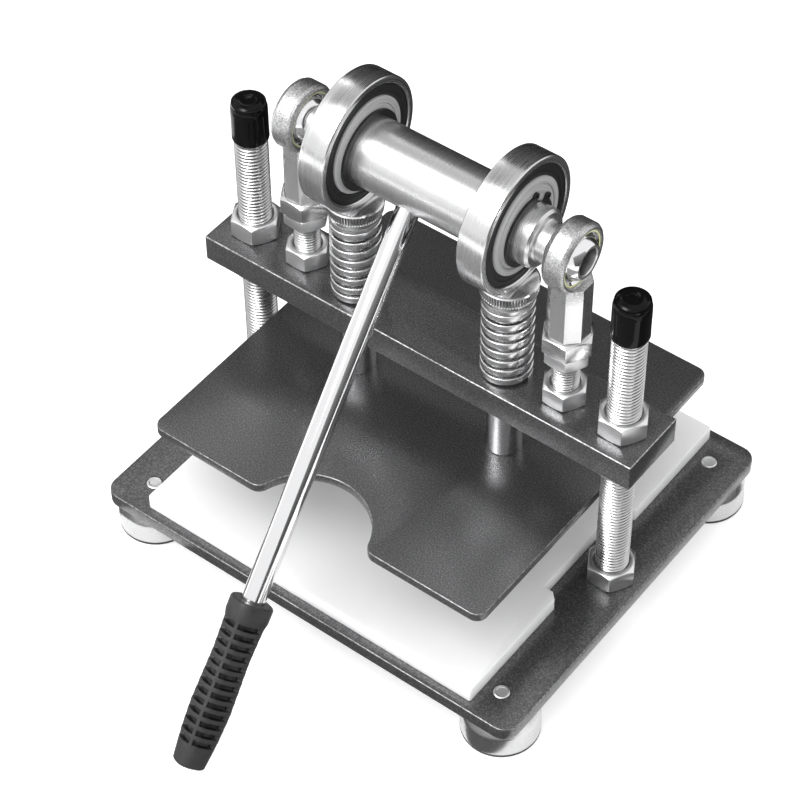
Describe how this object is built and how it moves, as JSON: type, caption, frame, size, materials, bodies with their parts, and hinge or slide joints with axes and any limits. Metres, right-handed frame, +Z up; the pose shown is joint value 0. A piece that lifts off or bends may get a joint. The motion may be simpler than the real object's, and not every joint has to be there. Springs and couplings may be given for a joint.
{
  "type": "manual die cutting machine",
  "caption": "Bench die cutting press: a long lever turns an eccentric shaft whose roller bearings push a spring-returned platen down onto a white cutting board between threaded posts.",
  "frame": {"origin": "centre of the cutting board's top face, where the die is laid", "axes": "+X along the cross beam to the right seen from the lever side, +Y to the back, +Z up"},
  "size_m": [0.305, 0.3789, 0.3137],
  "materials": {
    "plate_paint": "fine dark grey powder coat",
    "board": "matt white polyethylene",
    "chrome": "polished plating",
    "zinc": "bright zinc plating",
    "ground_steel": "ground and polished steel",
    "cast_eye": "blasted nickel plating",
    "liner": "pale yellow liner",
    "black_steel": "black oxide",
    "vinyl": "gloss black vinyl",
    "rubber": "matt black rubber",
    "brass": "pressed cage"
  },
  "bodies": {
    "base": {"base_plate": "plate_paint", "cutting_board": "board", "foot_cups": "chrome", "foot_pads": "rubber", "foot_screws": "zinc", "left_post": "zinc", "right_post": "zinc", "base_upper_nuts": "zinc", "base_lower_nuts": "zinc", "post_caps": "vinyl"},
    "crosshead": {"beam": "plate_paint", "beam_upper_nuts": "zinc", "beam_lower_nuts": "zinc", "studs": "zinc", "stud_seat_nuts": "zinc", "stud_lock_nuts": "zinc", "stud_lower_nuts": "zinc", "left_rod_end": "cast_eye", "right_rod_end": "cast_eye", "left_liner": "liner", "right_liner": "liner", "left_spring": "chrome", "right_spring": "chrome"},
    "lever": {"eccentric_shaft": "ground_steel", "left_rod_ball": "chrome", "right_rod_ball": "chrome", "left_eccentric_bush": "ground_steel", "right_eccentric_bush": "ground_steel", "left_inner_ring": "ground_steel", "right_inner_ring": "ground_steel", "left_bearing_balls": "chrome", "right_bearing_balls": "chrome", "left_cage": "brass", "right_cage": "brass", "retaining_rings": "black_steel", "spacer_rings": "black_steel", "lever_rod": "chrome", "lever_grip": "rubber"},
    "left_roller": {"left_outer_ring": "ground_steel", "left_seals": "rubber"},
    "right_roller": {"right_outer_ring": "ground_steel", "right_seals": "rubber"},
    "press_platen": {"platen": "plate_paint", "left_push_rod": "chrome", "right_push_rod": "chrome", "left_push_head": "ground_steel", "right_push_head": "ground_steel", "platen_screws": "black_steel"}
  },
  "joints": [
    {"name": "beam_height", "type": "slide", "parent": "base", "child": "crosshead", "axis": [0, 0, 1], "range_m": [0, 0.04]},
    {"name": "lever_swing", "type": "hinge", "parent": "crosshead", "child": "lever", "pos_m": [0, 0, 0.2287], "axis": [-1, 0, 0], "range_deg": [0, 130]},
    {"name": "platen_press", "type": "slide", "parent": "crosshead", "child": "press_platen", "axis": [0, 0, 1], "range_m": [-0.005, 0], "stiffness_N_per_m": 6000, "springref_m": 0.012, "deforming": ["left_spring", "right_spring"]},
    {"name": "left_roller_spin", "type": "hinge", "parent": "lever", "child": "left_roller", "pos_m": [-0.053, 0, 0.2317], "axis": [1, 0, 0], "continuous": true},
    {"name": "right_roller_spin", "type": "hinge", "parent": "lever", "child": "right_roller", "pos_m": [0.053, 0, 0.2317], "axis": [1, 0, 0], "continuous": true}
  ],
  "couplings": [
    {"joint": "platen_press", "follows": "lever_swing", "m_per_rad": -0.00217}
  ]
}
